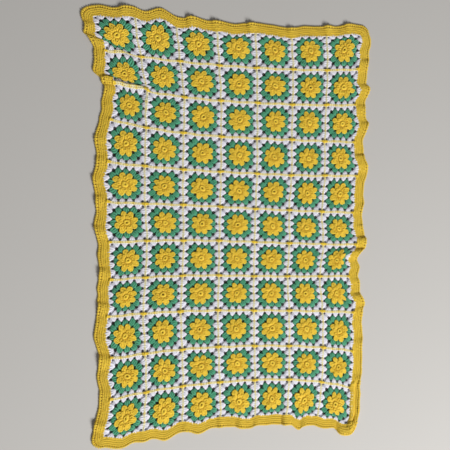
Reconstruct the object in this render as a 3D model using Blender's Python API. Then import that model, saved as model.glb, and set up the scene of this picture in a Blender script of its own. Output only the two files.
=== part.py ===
# A crocheted granny square blanket lying on a floor: 7 x 11 squares joined into one panel, and a wide
# border worked around it. Flat sizes and folds are given in the cloth's own flat coordinates, s across
# and t along it, in millimetres from its middle; lay() puts a point of the flat cloth where it lies.
import math
from collections import namedtuple

import bmesh
import bpy
from mathutils import Vector

MM = 0.001

# Flat cloth
COLUMNS = 7
ROWS = 11
SQUARE = 108.0          # side of one granny square
BORDER = 32.0           # width of the border, five rows of single crochet
JOIN_GAP = 0.35         # between the panel's edge and the border
HALF_WIDTH = COLUMNS * SQUARE / 2
HALF_LENGTH = ROWS * SQUARE / 2
GROUND = 4.0            # thickness of the rounds between the flowers
BORDER_HIGH = (4.4, 5.2, 3.6)    # the border's thickness at its inner edge, its middle and its outer edge
CORNER_ROUND = 0.42     # share by which the border's square corners are drawn in

# One square's flower and gaps
PETALS = 8
EYE_HIGH = 7.0          # the dip in the middle of the flower
RING_RADIUS, RING_HIGH = 11.0, 10.5
TIP_RADIUS, TIP_HIGH = 29.5, 7.6
NOTCH_RADIUS, NOTCH_HIGH = 25.0, 4.8      # between two petals, facing a side of the square
FOOT_RADIUS, FOOT_HIGH = 33.5, 4.2        # where a petal's tip drops to the ground
GAP_INNER = 23.5        # the gap between two petals that faces a corner: its point and its wide end
GAP_OUTER = 34.5
GAP_SPREAD = math.radians(9.5)
EDGE_CUTS = 3           # extra points on each half side along the panel's outer edge

# Squares whose gaps are pulled shut by a fold, as (column, row) from the top left
SHUT_SQUARES = ((0, 0), (6, 6))

# How the cloth lies: one row for each seam between two rows of squares, from the top edge down. X of
# its left end, its middle and its right end, Y of the same three, how much narrower its outermost squares
# are than the others, and how far it runs higher on the left of its middle, and lower on the right.
RowSeam = namedtuple("RowSeam", "left middle right left_y middle_y right_y pull tilt")
ROW_SEAMS = (
    RowSeam(-424, -3, 394, 597, 575, 598, 0.01, 0),
    RowSeam(-392, 1, 388, 497, 474, 489, 0.04, 1),
    RowSeam(-368, 4, 379, 405, 368, 376, 0.045, 1),
    RowSeam(-374, 5, 374, 301, 261, 259, 0.04, 1.5),
    RowSeam(-383, 4, 380, 178, 155, 153, 0.02, 3.5),
    RowSeam(-384, 1, 370, 63, 50, 37, 0.01, 5),
    RowSeam(-377, -4, 382, -52, -51, -65, 0, 4.5),
    RowSeam(-375, -4, 357, -160, -154, -162, 0.03, 4),
    RowSeam(-383, -6, 371, -265, -258, -277, 0.03, 3.5),
    RowSeam(-375, -5, 372, -387, -366, -399, 0.03, 1.5),
    RowSeam(-374, -1, 365, -503, -470, -513, 0.03, -1),
    RowSeam(-395, 4, 353, -609, -575, -617, 0, 0),
)
SIDE_BEND = 2.2         # how late a row's end turns away from its middle

# Waves of the outline: how far the cloth swings out (or in, below zero) around a place on a side
Wave = namedtuple("Wave", "side along out half")
WAVES = (
    Wave("left", 532, 10, 26),
    Wave("left", 498, -5, 24),
    Wave("left", 456, 3, 28),
    Wave("left", 424, 14, 38),
    Wave("left", 354, -8, 34),
    Wave("left", 296, -5, 30),
    Wave("left", 225, 8, 46),
    Wave("left", 112, 8, 44),
    Wave("left", -14, 9, 50),
    Wave("left", -90, 2, 34),
    Wave("left", -186, 3, 28),
    Wave("left", -248, -5, 26),
    Wave("left", -322, 8, 50),
    Wave("left", -426, 8, 40),
    Wave("right", 567, 8, 42),
    Wave("right", 514, 5, 30),
    Wave("right", 418, 13, 30),
    Wave("right", 362, 4, 26),
    Wave("right", 318, 15, 46),
    Wave("right", 190, 6, 30),
    Wave("right", 170, 6, 30),
    Wave("right", 76, 6, 32),
    Wave("right", 8, -3, 26),
    Wave("right", -102, -17, 33),
    Wave("right", -188, 5, 28),
    Wave("right", -248, 11, 28),
    Wave("right", -300, -4, 26),
    Wave("right", -368, -3, 28),
    Wave("right", -484, -4, 28),
    Wave("right", -556, 4, 38),
    Wave("top", -388, -6, 34),
    Wave("top", -278, 12, 54),
    Wave("top", -204, 19, 50),
    Wave("top", -112, 6, 34),
    Wave("top", -12, -4, 34),
    Wave("top", 64, 4, 40),
    Wave("top", 126, -4, 26),
    Wave("top", 162, -6, 44),
    Wave("top", 342, 5, 44),
    Wave("bottom", -328, 13, 50),
    Wave("bottom", -270, 9, 38),
    Wave("bottom", -212, 17, 44),
    Wave("bottom", -118, 12, 38),
    Wave("bottom", 28, 11, 50),
    Wave("bottom", 92, 3, 34),
    Wave("bottom", 202, 15, 34),
    Wave("bottom", 290, 4, 36),
    Wave("bottom", 364, 13, 44),
)
WAVE_REACH = 80.0       # how far into the panel a wave of the outline is felt

# Ripples across the border: each stands highest at the outer edge and dies out in the panel. The crest
# leans upwards on the left and right sides, and to the left at the top and bottom.
Ripple = namedtuple("Ripple", "side along slant half high lean reach")
RIPPLES = (
    Ripple("left", 556, 3, 20, 5, 6, 20),
    Ripple("left", 470, 0, 24, 3, 10, 15),
    Ripple("left", 354, 0, 24, 4, 10, 20),
    Ripple("left", 218, 2, 14, 4, 6, 20),
    Ripple("left", 162, 2, 18, 4, 8, 20),
    Ripple("left", 111, 0, 24, 5, 10, 20),
    Ripple("left", 54, 0, 24, 7, 10, 20),
    Ripple("left", -26, -4, 24, 9, 10, 25),
    Ripple("left", -143, -3, 22, 9, 9, 20),
    Ripple("left", -245, -5, 24, 7, 10, 30),
    Ripple("left", -382, -4, 24, 9, 10, 40),
    Ripple("left", -471, -4, 20, 2, 8, 15),
    Ripple("left", -553, -4, 20, 9, 8, 20),
    Ripple("right", 497, 2, 24, 8, 10, 20),
    Ripple("right", 420, 2, 24, 9, 10, 25),
    Ripple("right", 364, 0, 20, 5, 8, 15),
    Ripple("right", 313, 0, 24, 8, 10, 20),
    Ripple("right", 215, 0, 21, 8, 9, 30),
    Ripple("right", 193, 0, 24, 9, 10, 30),
    Ripple("right", 65, 0, 24, 5, 10, 15),
    Ripple("right", 5, 0, 14, 2, 6, 10),
    Ripple("right", -45, 0, 24, 10, 10, 40),
    Ripple("right", -87, 4, 24, 11, 10, 75),
    Ripple("right", -183, 0, 18, 3, 7, 15),
    Ripple("right", -233, -4, 24, 10, 10, 25),
    Ripple("right", -269, 0, 24, 4, 10, 15),
    Ripple("right", -360, -3, 24, 4, 10, 15),
    Ripple("right", -468, 0, 24, 6, 10, 15),
    Ripple("right", -604, 0, 14, 3, 6, 10),
    Ripple("top", -294, 4, 20, 8, 8, 20),
    Ripple("top", -122, 4, 18, 8, 8, 20),
    Ripple("top", -56, 8, 18, 8, 8, 20),
    Ripple("top", 42, 8, 17, 9, 7, 30),
    Ripple("top", 162, 2, 18, 8, 8, 15),
    Ripple("top", 276, 2, 18, 8, 8, 15),
    Ripple("top", 340, 8, 18, 7, 8, 15),
    Ripple("bottom", -150, -4, 14, 3, 6, 15),
    Ripple("bottom", -51, -3, 14, 4, 6, 15),
    Ripple("bottom", 6, 2, 20, 8, 8, 20),
    Ripple("bottom", 65, 2, 24, 4, 10, 15),
    Ripple("bottom", 164, -8, 21, 10, 9, 45),
    Ripple("bottom", 225, -2, 18, 3, 7, 15),
    Ripple("bottom", 356, 0, 21, 9, 9, 30),
)

# Long creases, each a ridge from one point of the flat cloth to another, its height at both ends, and
# how far its crest leans to the right of its direction
Crease = namedtuple("Crease", "s0 t0 s1 t1 half high0 high1 lean")
CREASES = (
    Crease(-430, 527, -298, 470, 18, 8, 4, -5),       # under the top left flower
    Crease(-400, 388, -276, 376, 15, 8, 7, -6),       # along the seam under the second row
    Crease(-272, 350, -266, 300, 16, 4, 2, 4),        # and on down the seam beside it
    Crease(405, -478, 403, -592, 8, 5, 5, 0),         # the two lips of the groove along the border
    Crease(386, -478, 384, -592, 9, 5, 5, 0),
    Crease(-420, 552, -262, 538, 56, 1, 1, 5),        # the two squares above the folds slide down to them
    Crease(-420, 440, -262, 428, 56, 1, 1, 11),
)
CUT_CREASES = (0, 1)    # the creases that run on through the panel, where its faces are split for them

# Round humps: the puckered corner at the lower right, and the lifted corner square at the upper left
Hump = namedtuple("Hump", "s t radius high")
HUMPS = (
    Hump(382, -612, 34, 12),
    Hump(-318, 560, 95, 5),
)

SLOPE_STEP = 2.0        # distance over which the cloth's slope is taken
SAME_PLACE = 0.01       # points closer than this are one point
CUT_WIDTH = 1.4         # how far to the sides of a crease faces are split for it, in crease half widths
CUT_NEAR = 0.5          # a cut this near to a point runs through the point

MATERIALS = {           # node: base colour, roughness
    "squares_panel": ((0.55, 0.60, 0.42, 1.0), 0.95),
    "border": ((0.74, 0.50, 0.05, 1.0), 0.95),
}


def clamp(value):
    return max(0.0, min(1.0, value))


def soft_step(value):
    value = clamp(value)
    return value * value * (3 - 2 * value)


def swell(distance, half):
    """1 at the crest, falling smoothly to 0 at half."""
    return soft_step(1 - abs(distance) / half)


def row_seam_at(index):
    """The row seam values at any height between the seams, on a smooth curve through them."""
    low = max(0, min(ROWS - 1, math.floor(index)))
    part = index - low
    rows = [ROW_SEAMS[max(0, min(ROWS, low + step))] for step in (-1, 0, 1, 2)]
    blended = []
    for before, start, end, after in zip(*rows):
        turn = (2 * start, end - before, 2 * before - 5 * start + 4 * end - after,
                3 * start - before - 3 * end + after)
        blended.append(0.5 * sum(factor * part**power for power, factor in enumerate(turn)))
    return RowSeam(*blended)


def layout(s, t):
    """Where a point of the flat cloth lies, seen from above."""
    inner_s = max(-HALF_WIDTH, min(HALF_WIDTH, s))
    inner_t = max(-HALF_LENGTH, min(HALF_LENGTH, t))
    row = row_seam_at((HALF_LENGTH - inner_t) / SQUARE)
    share = abs(inner_s) / HALF_WIDTH
    across = share * (1 + row.pull * (1 - share**4))
    turned = share**SIDE_BEND
    end_x, end_y = (row.left, row.left_y) if s < 0 else (row.right, row.right_y)
    x = row.middle + (end_x - row.middle) * across + s - inner_s
    y = row.middle_y + (end_y - row.middle_y) * turned + t - inner_t
    y -= row.tilt * math.sin(math.pi * inner_s / HALF_WIDTH)
    return x, y


def side_place(side, s, t):
    """How far along a side a point lies, how far it is outside the panel there, and the way out."""
    return {
        "left": (t, -s - HALF_WIDTH, (-1, 0)),
        "right": (t, s - HALF_WIDTH, (1, 0)),
        "top": (s, t - HALF_LENGTH, (0, 1)),
        "bottom": (s, -t - HALF_LENGTH, (0, -1)),
    }[side]


def ripple_crease(ripple):
    """A ripple of the border as a crease from the outer edge into the panel."""
    outer = BORDER + ripple.half / 2
    inner = -ripple.reach
    start, end = ripple.along, ripple.along + ripple.slant
    if ripple.side == "left":
        ends = (-HALF_WIDTH - outer, start, -HALF_WIDTH - inner, end)
        lean = -ripple.lean
    elif ripple.side == "right":
        ends = (HALF_WIDTH + outer, start, HALF_WIDTH + inner, end)
        lean = ripple.lean
    elif ripple.side == "top":
        ends = (start, HALF_LENGTH + outer, end, HALF_LENGTH + inner)
        lean = ripple.lean
    else:
        ends = (start, -HALF_LENGTH - outer, end, -HALF_LENGTH - inner)
        lean = -ripple.lean
    return Crease(*ends, ripple.half, ripple.high, 0, lean)


def wave_share(outside):
    """How much of a wave is felt: all on the border, and less and less on the way into the panel."""
    return 1 - soft_step(-outside / WAVE_REACH)


ALL_CREASES = CREASES + tuple(ripple_crease(ripple) for ripple in RIPPLES)


def crease_lift(crease, s, t):
    """How far a crease lifts and leans a point: x, y and z."""
    run_s, run_t = crease.s1 - crease.s0, crease.t1 - crease.t0
    length = math.hypot(run_s, run_t)
    run_s, run_t = run_s / length, run_t / length
    along = (s - crease.s0) * run_s + (t - crease.t0) * run_t
    aside = (s - crease.s0) * run_t - (t - crease.t0) * run_s
    past_end = max(0.0, -along, along - length)
    if abs(aside) >= crease.half or past_end >= crease.half:
        return Vector((0, 0, 0))
    weight = swell(aside, crease.half) * swell(past_end, crease.half)
    share = clamp(along / length)
    high = crease.high0 + (crease.high1 - crease.high0) * share
    lean = crease.lean * weight * high / max(crease.high0, crease.high1)
    return Vector((lean * run_t, -lean * run_s, high * weight))


def underside(s, t):
    """The point of the cloth's underside, in millimetres."""
    x, y = layout(s, t)
    place = Vector((x, y, 0))
    for wave in WAVES:
        along, outside, (out_x, out_y) = side_place(wave.side, s, t)
        swing = wave.out * swell(along - wave.along, wave.half) * wave_share(outside)
        place += Vector((out_x * swing, out_y * swing, 0))
    for crease in ALL_CREASES:
        place += crease_lift(crease, s, t)
    for hump in HUMPS:
        away = math.hypot(s - hump.s, t - hump.t)
        place.z += hump.high * swell(away, hump.radius)
    return place


def lay(s, t, high):
    """Where a point of the flat cloth lies, high above its underside, in metres."""
    across = underside(s + SLOPE_STEP, t) - underside(s - SLOPE_STEP, t)
    along = underside(s, t + SLOPE_STEP) - underside(s, t - SLOPE_STEP)
    normal = across.cross(along).normalized()
    return (underside(s, t) + normal * high) * MM


def lay_cloth(bm):
    """Moves every point of a flat mesh, whose z is its height, to where the cloth lies."""
    for vert in bm.verts:
        vert.co = lay(*vert.co)


def polar(middle, radius, angle, high):
    return middle[0] + radius * math.cos(angle), middle[1] + radius * math.sin(angle), high


def add_square(bm, middle, gaps_open):
    """One granny square: its raised flower, the ground around it and its four corner gaps."""
    half = SQUARE / 2
    quarter = math.pi / 2
    petal = 2 * math.pi / PETALS

    def point(radius, angle, high):
        return bm.verts.new(polar(middle, radius, angle, high))

    eye = point(0, 0, EYE_HIGH)
    ring = [point(RING_RADIUS, (k + 0.5) * petal, RING_HIGH) for k in range(PETALS)]
    tips = [point(TIP_RADIUS, (k + 0.5) * petal, TIP_HIGH) for k in range(PETALS)]
    feet = [point(FOOT_RADIUS, (k + 0.5) * petal, FOOT_HIGH) for k in range(PETALS)]
    notches = [
        point(NOTCH_RADIUS if k % 2 == 0 else GAP_INNER, k * petal, NOTCH_HIGH) for k in range(PETALS)
    ]
    for k in range(PETALS):
        after = (k + 1) % PETALS
        bm.faces.new((eye, ring[k], ring[after]))
        bm.faces.new((ring[k], notches[k], tips[k]))
        bm.faces.new((ring[k], tips[k], notches[after]))
        bm.faces.new((ring[k], notches[after], ring[after]))
        bm.faces.new((notches[k], feet[k], tips[k]))
        bm.faces.new((tips[k], feet[k], notches[after]))

    under_eye = point(0, 0, 0)
    sides, under_sides, corners, under_corners = [], [], [], []
    for k in range(4):
        for row, high in ((sides, GROUND), (under_sides, 0)):
            row.append(point(half, k * quarter, high))
        for row, high in ((corners, GROUND), (under_corners, 0)):
            row.append(point(half * math.sqrt(2), (k + 0.5) * quarter, high))
    for k in range(4):
        after = (k + 1) % 4
        foot_a, foot_b = feet[2 * k], feet[2 * k + 1]
        notch, gap_top = notches[2 * k], notches[2 * k + 1]
        turn = (k + 0.5) * quarter
        wide_a = point(GAP_OUTER, turn - GAP_SPREAD, GROUND)
        wide_b = point(GAP_OUTER, turn + GAP_SPREAD, GROUND)
        bm.faces.new((notch, sides[k], foot_a))
        bm.faces.new((foot_a, sides[k], corners[k]))
        bm.faces.new((foot_a, corners[k], wide_a))
        bm.faces.new((foot_a, wide_a, gap_top))
        bm.faces.new((wide_a, corners[k], wide_b))
        bm.faces.new((gap_top, wide_b, foot_b))
        bm.faces.new((wide_b, corners[k], foot_b))
        bm.faces.new((foot_b, corners[k], sides[after]))
        bm.faces.new((foot_b, sides[after], notches[(2 * k + 2) % PETALS]))
        gap_under = point(GAP_INNER, turn, 0)
        under_a = point(GAP_OUTER, turn - GAP_SPREAD, 0)
        under_b = point(GAP_OUTER, turn + GAP_SPREAD, 0)
        bm.faces.new((under_eye, under_a, under_sides[k]))
        bm.faces.new((under_sides[k], under_a, under_corners[k]))
        bm.faces.new((under_a, under_b, under_corners[k]))
        bm.faces.new((under_b, under_sides[after], under_corners[k]))
        bm.faces.new((under_eye, under_sides[after], under_b))
        bm.faces.new((under_eye, gap_under, under_a))
        bm.faces.new((under_eye, under_b, gap_under))
        if gaps_open:
            upper = (gap_top, wide_a, wide_b)
            lower = (gap_under, under_a, under_b)
            for start, end in ((0, 1), (1, 2), (2, 0)):
                bm.faces.new((upper[end], upper[start], lower[start], lower[end]))
        else:
            bm.faces.new((gap_top, wide_a, wide_b))
            bm.faces.new((gap_under, under_b, under_a))


def on_side(vert):
    return abs(abs(vert.co.x) - HALF_WIDTH) < SAME_PLACE


def on_end(vert):
    return abs(abs(vert.co.y) - HALF_LENGTH) < SAME_PLACE


def runs_along_edge(edge):
    """Whether an edge lies along the panel's outer edge, level with the top or the underside."""
    first, second = edge.verts
    run = first.co - second.co
    if abs(run.z) > SAME_PLACE:
        return False
    along_side = abs(run.x) < SAME_PLACE and on_side(first)
    along_end = abs(run.y) < SAME_PLACE and on_end(first)
    return along_side or along_end


def split_for_crease(bm, crease):
    """Cuts the faces near a crease along its crest and its two feet, so that they can bend there."""
    run = Vector((crease.s1 - crease.s0, crease.t1 - crease.t0, 0)).normalized()
    aside = Vector((run.y, -run.x, 0))
    start = Vector((crease.s0, crease.t0, 0))
    length = math.hypot(crease.s1 - crease.s0, crease.t1 - crease.t0)

    def near(face):
        if any(runs_along_edge(edge) for edge in face.edges):
            return False
        away = face.calc_center_median() - start
        return -crease.half < away.dot(run) < length and abs(away.dot(aside)) < CUT_WIDTH * crease.half

    for offset in (-crease.half, 0.0, crease.half):
        faces = [face for face in bm.faces if near(face)]
        edges = {edge for face in faces for edge in face.edges}
        verts = {vert for face in faces for vert in face.verts}
        bmesh.ops.bisect_plane(bm, geom=[*verts, *edges, *faces], dist=CUT_NEAR,
                               plane_co=start + aside * offset, plane_no=aside)


def split_join_walls(bm):
    """Splits each upright face the same way in both pieces, so that their bent walls match."""
    for face in list(bm.faces):
        low = [vert for vert in face.verts if vert.co.z < SAME_PLACE]
        top = [vert for vert in face.verts if vert.co.z >= SAME_PLACE]
        if len(low) != 2 or len(top) != 2 or abs(face.normal.z) > SAME_PLACE:
            continue
        first = min(low, key=lambda vert: vert.co.x + vert.co.y)
        last = max(top, key=lambda vert: vert.co.x + vert.co.y)
        if not any(first in edge.verts and last in edge.verts for edge in face.edges):
            bmesh.utils.face_split(face, first, last)


def build_panel():
    """The 77 joined squares as one sheet."""
    bm = bmesh.new()
    for column in range(COLUMNS):
        for row in range(ROWS):
            middle = ((column + 0.5) * SQUARE - HALF_WIDTH, HALF_LENGTH - (row + 0.5) * SQUARE)
            add_square(bm, middle, (column, row) not in SHUT_SQUARES)
    bmesh.ops.remove_doubles(bm, verts=bm.verts, dist=SAME_PLACE)
    rims = [edge for edge in bm.edges if edge.is_boundary]
    bmesh.ops.bridge_loops(bm, edges=rims)
    edge_lines = [edge for edge in bm.edges if runs_along_edge(edge)]
    bmesh.ops.subdivide_edges(bm, edges=edge_lines, cuts=EDGE_CUTS, use_grid_fill=True)
    for number in CUT_CREASES:
        split_for_crease(bm, CREASES[number])
    split_join_walls(bm)
    bmesh.ops.triangulate(bm, faces=bm.faces)
    lay_cloth(bm)
    return bm


def border_lines(half, squares):
    """The grid lines of the border along one direction, from one outer edge to the other."""
    step = SQUARE / 2 / (EDGE_CUTS + 1)
    inner = half + JOIN_GAP
    outer = half + BORDER
    middle = (inner + outer) / 2
    count = squares * 2 * (EDGE_CUTS + 1)
    along = [-half + k * step for k in range(1, count)]
    return [-outer, -middle, -inner, *along, inner, middle, outer]


def rounded_corner(s, t):
    """Draws the border's square corners in."""
    out_s = max(0.0, abs(s) - HALF_WIDTH) / BORDER
    out_t = max(0.0, abs(t) - HALF_LENGTH) / BORDER
    if not (out_s and out_t):
        return s, t
    drawn_s = HALF_WIDTH + BORDER * out_s * math.sqrt(1 - CORNER_ROUND * out_t**2)
    drawn_t = HALF_LENGTH + BORDER * out_t * math.sqrt(1 - CORNER_ROUND * out_s**2)
    return math.copysign(drawn_s, s), math.copysign(drawn_t, t)


def border_high(s, t):
    """The border's thickness, by how far a point is from the panel."""
    outside = max(abs(s) - HALF_WIDTH, abs(t) - HALF_LENGTH) / BORDER
    return BORDER_HIGH[0 if outside < 0.25 else 1 if outside < 0.75 else 2]


def build_border():
    """The border as one ring around the panel."""
    bm = bmesh.new()
    s_lines = border_lines(HALF_WIDTH, COLUMNS)
    t_lines = border_lines(HALF_LENGTH, ROWS)
    skins = {}

    def point(i, j, top):
        if (i, j, top) not in skins:
            s, t = s_lines[i], t_lines[j]
            high = border_high(s, t) if top else 0
            skins[i, j, top] = bm.verts.new((*rounded_corner(s, t), high))
        return skins[i, j, top]

    for i in range(len(s_lines) - 1):
        for j in range(len(t_lines) - 1):
            if 1 < i < len(s_lines) - 3 and 1 < j < len(t_lines) - 3:
                continue
            ring = ((i, j), (i + 1, j), (i + 1, j + 1), (i, j + 1))
            bm.faces.new([point(a, b, True) for a, b in ring])
            bm.faces.new([point(a, b, False) for a, b in reversed(ring)])
    rims = {"inner": [], "outer": []}
    for edge in bm.edges:
        if edge.is_boundary:
            middle = (edge.verts[0].co + edge.verts[1].co) / 2
            inside = abs(middle.x) < HALF_WIDTH + BORDER / 4 and abs(middle.y) < HALF_LENGTH + BORDER / 4
            rims["inner" if inside else "outer"].append(edge)
    for rim in rims.values():
        bmesh.ops.bridge_loops(bm, edges=rim)
    split_join_walls(bm)
    bmesh.ops.triangulate(bm, faces=bm.faces)
    lay_cloth(bm)
    return bm


def make_material(name):
    colour, roughness = MATERIALS[name]
    material = bpy.data.materials.new(name + "_yarn")
    material.use_nodes = True
    shader = material.node_tree.nodes["Principled BSDF"]
    shader.inputs["Base Color"].default_value = colour
    shader.inputs["Roughness"].default_value = roughness
    shader.inputs["Metallic"].default_value = 0.0
    return material


def make_object(name, bm, parent):
    bmesh.ops.recalc_face_normals(bm, faces=bm.faces)
    mesh = bpy.data.meshes.new(name)
    bm.to_mesh(mesh)
    bm.free()
    mesh.materials.append(make_material(name))
    made = bpy.data.objects.new(name, mesh)
    made.parent = parent
    bpy.context.collection.objects.link(made)
    return made


def main():
    for old in list(bpy.data.objects):
        bpy.data.objects.remove(old, do_unlink=True)
    blanket = bpy.data.objects.new("blanket", None)
    bpy.context.collection.objects.link(blanket)
    make_object("squares_panel", build_panel(), blanket)
    make_object("border", build_border(), blanket)


main()
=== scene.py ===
import math

import bpy
import numpy as np
from mathutils import Matrix, Vector


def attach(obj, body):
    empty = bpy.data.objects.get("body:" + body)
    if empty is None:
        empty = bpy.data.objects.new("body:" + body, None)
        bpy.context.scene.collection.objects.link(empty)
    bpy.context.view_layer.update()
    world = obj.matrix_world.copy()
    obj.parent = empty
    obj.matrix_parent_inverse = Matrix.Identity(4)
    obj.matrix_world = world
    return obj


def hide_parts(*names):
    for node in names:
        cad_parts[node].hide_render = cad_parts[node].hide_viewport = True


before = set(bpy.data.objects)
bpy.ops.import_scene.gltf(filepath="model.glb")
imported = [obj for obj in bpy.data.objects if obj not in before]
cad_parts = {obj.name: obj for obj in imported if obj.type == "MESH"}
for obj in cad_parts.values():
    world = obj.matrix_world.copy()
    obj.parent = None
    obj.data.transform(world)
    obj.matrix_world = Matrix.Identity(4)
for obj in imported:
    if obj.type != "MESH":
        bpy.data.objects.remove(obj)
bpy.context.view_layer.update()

# All yarn is placed on the flat cloth first, in millimetres: s across it, t along it, and the height
# above its underside. layOnFolds then puts it where the blanket lies.
cloth = {
    "square": 108.0,
    "columns": 7,
    "rows": 11,
    "border": 32.0,
    "cornerRound": 0.42,      # how much the border's corners are drawn in
    "sideBend": 2.2,          # how late a row's end turns away from its middle
    "waveReach": 80.0,        # how far into the panel a wave of the outline is felt
    "slopeStep": 2.0,         # distance over which the cloth's slope is taken
    "lumpHigh": 1.3,          # soft unevenness of the whole cloth
    "lumpLength": 74.0,
    "wobble": 0.9,            # how far hand work strays sideways
    "fineWobble": 0.4,        # and the share of it that it strays within a square
}
halfWidth = cloth["square"] * cloth["columns"] / 2
halfLength = cloth["square"] * cloth["rows"] / 2

# Of each row seam: x of its left end, middle and right end, y of the same three, how much narrower its
# outermost squares are, and how much higher it runs on the left of its middle and lower on the right.
rowSeams = np.array([
    (-424, -3, 394, 597, 575, 598, 0.01, 0),
    (-392, 1, 388, 497, 474, 489, 0.04, 1),
    (-368, 4, 379, 405, 368, 376, 0.045, 1),
    (-374, 5, 374, 301, 261, 259, 0.04, 1.5),
    (-383, 4, 380, 178, 155, 153, 0.02, 3.5),
    (-384, 1, 370, 63, 50, 37, 0.01, 5),
    (-377, -4, 382, -52, -51, -65, 0, 4.5),
    (-375, -4, 357, -160, -154, -162, 0.03, 4),
    (-383, -6, 371, -265, -258, -277, 0.03, 3.5),
    (-375, -5, 372, -387, -366, -399, 0.03, 1.5),
    (-374, -1, 365, -503, -470, -513, 0.03, -1),
    (-395, 4, 353, -609, -575, -617, 0, 0),
])
# on each side: place along it, how far the outline swings out there, half the wave's length
waves = {
    "left": [
        (532, 10, 26), (498, -5, 24), (456, 3, 28), (424, 14, 38), (354, -8, 34), (296, -5, 30),
        (225, 8, 46), (112, 8, 44), (-14, 9, 50), (-90, 2, 34), (-186, 3, 28), (-248, -5, 26),
        (-322, 8, 50), (-426, 8, 40),
    ],
    "right": [
        (567, 8, 42), (514, 5, 30), (418, 13, 30), (362, 4, 26), (318, 15, 46), (190, 6, 30),
        (170, 6, 30), (76, 6, 32), (8, -3, 26), (-102, -17, 33), (-188, 5, 28), (-248, 11, 28),
        (-300, -4, 26), (-368, -3, 28), (-484, -4, 28), (-556, 4, 38),
    ],
    "top": [
        (-388, -6, 34), (-278, 12, 54), (-204, 19, 50), (-112, 6, 34), (-12, -4, 34), (64, 4, 40),
        (126, -4, 26), (162, -6, 44), (342, 5, 44),
    ],
    "bottom": [
        (-328, 13, 50), (-270, 9, 38), (-212, 17, 44), (-118, 12, 38), (28, 11, 50), (92, 3, 34),
        (202, 15, 34), (290, 4, 36), (364, 13, 44),
    ],
}
# on each side: place along it, slant, half the width, height, lean, reach into the panel
ripples = {
    "left": [
        (556, 3, 20, 5, 6, 20), (470, 0, 24, 3, 10, 15), (354, 0, 24, 4, 10, 20),
        (218, 2, 14, 4, 6, 20), (162, 2, 18, 4, 8, 20), (111, 0, 24, 5, 10, 20),
        (54, 0, 24, 7, 10, 20), (-26, -4, 24, 9, 10, 25), (-143, -3, 22, 9, 9, 20),
        (-245, -5, 24, 7, 10, 30), (-382, -4, 24, 9, 10, 40), (-471, -4, 20, 2, 8, 15),
        (-553, -4, 20, 9, 8, 20),
    ],
    "right": [
        (497, 2, 24, 8, 10, 20), (420, 2, 24, 9, 10, 25), (364, 0, 20, 5, 8, 15),
        (313, 0, 24, 8, 10, 20), (215, 0, 21, 8, 9, 30), (193, 0, 24, 9, 10, 30),
        (65, 0, 24, 5, 10, 15), (5, 0, 14, 2, 6, 10), (-45, 0, 24, 10, 10, 40),
        (-87, 4, 24, 11, 10, 75), (-183, 0, 18, 3, 7, 15), (-233, -4, 24, 10, 10, 25),
        (-269, 0, 24, 4, 10, 15), (-360, -3, 24, 4, 10, 15), (-468, 0, 24, 6, 10, 15),
        (-604, 0, 14, 3, 6, 10),
    ],
    "top": [
        (-294, 4, 20, 8, 8, 20), (-122, 4, 18, 8, 8, 20), (-56, 8, 18, 8, 8, 20),
        (42, 8, 17, 9, 7, 30), (162, 2, 18, 8, 8, 15), (276, 2, 18, 8, 8, 15),
        (340, 8, 18, 7, 8, 15),
    ],
    "bottom": [
        (-150, -4, 14, 3, 6, 15), (-51, -3, 14, 4, 6, 15), (6, 2, 20, 8, 8, 20),
        (65, 2, 24, 4, 10, 15), (164, -8, 21, 10, 9, 45), (225, -2, 18, 3, 7, 15),
        (356, 0, 21, 9, 9, 30),
    ],
}
# from s, t to s, t, half the width, height at both ends, lean
creases = [
    (-430, 527, -298, 470, 18, 8, 4, -5),
    (-400, 388, -276, 376, 15, 8, 7, -6),
    (-272, 350, -266, 300, 16, 4, 2, 4),
    (405, -478, 403, -592, 8, 5, 5, 0),
    (386, -478, 384, -592, 9, 5, 5, 0),
    (-420, 552, -262, 538, 56, 1, 1, 5),
    (-420, 440, -262, 428, 56, 1, 1, 11),
]
humps = [(382, -612, 34, 12), (-318, 560, 95, 5)]     # s, t, radius, height


def softStep(value):
    value = np.clip(value, 0, 1)
    return value * value * (3 - 2 * value)


def swell(distance, half):
    return softStep(1 - np.abs(distance) / half)


def rowSeamAt(index):
    low = np.clip(np.floor(index), 0, cloth["rows"] - 1).astype(int)
    part = (index - low)[:, None]
    before, start, end, after = (
        rowSeams[np.clip(low + step, 0, cloth["rows"])] for step in (-1, 0, 1, 2)
    )
    curve = 2 * start + (end - before) * part
    curve = curve + (2 * before - 5 * start + 4 * end - after) * part**2
    return 0.5 * (curve + (3 * start - before - 3 * end + after) * part**3)


def layout(s, t):
    innerS = np.clip(s, -halfWidth, halfWidth)
    innerT = np.clip(t, -halfLength, halfLength)
    atRow = rowSeamAt((halfLength - innerT) / cloth["square"])
    left, middle, right, leftY, middleY, rightY, pull, tilt = atRow.T
    share = np.abs(innerS) / halfWidth
    across = share * (1 + pull * (1 - share**4))
    endX = np.where(s < 0, left, right)
    endY = np.where(s < 0, leftY, rightY)
    x = middle + (endX - middle) * across + s - innerS
    y = middleY + (endY - middleY) * share ** cloth["sideBend"] + t - innerT
    y = y - tilt * np.sin(math.pi * innerS / halfWidth)
    return x, y


def rippleAsCrease(side, along, slant, half, high, lean, reach):
    outer, inner = cloth["border"] + half / 2, -reach
    start, end = along, along + slant
    ends = {
        "left": (-halfWidth - outer, start, -halfWidth - inner, end),
        "right": (halfWidth + outer, start, halfWidth + inner, end),
        "top": (start, halfLength + outer, end, halfLength + inner),
        "bottom": (start, -halfLength - outer, end, -halfLength - inner),
    }[side]
    return (*ends, half, high, 0, lean if side in ("right", "top") else -lean)


allCreases = creases + [rippleAsCrease(side, *ripple) for side in ripples for ripple in ripples[side]]


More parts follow.
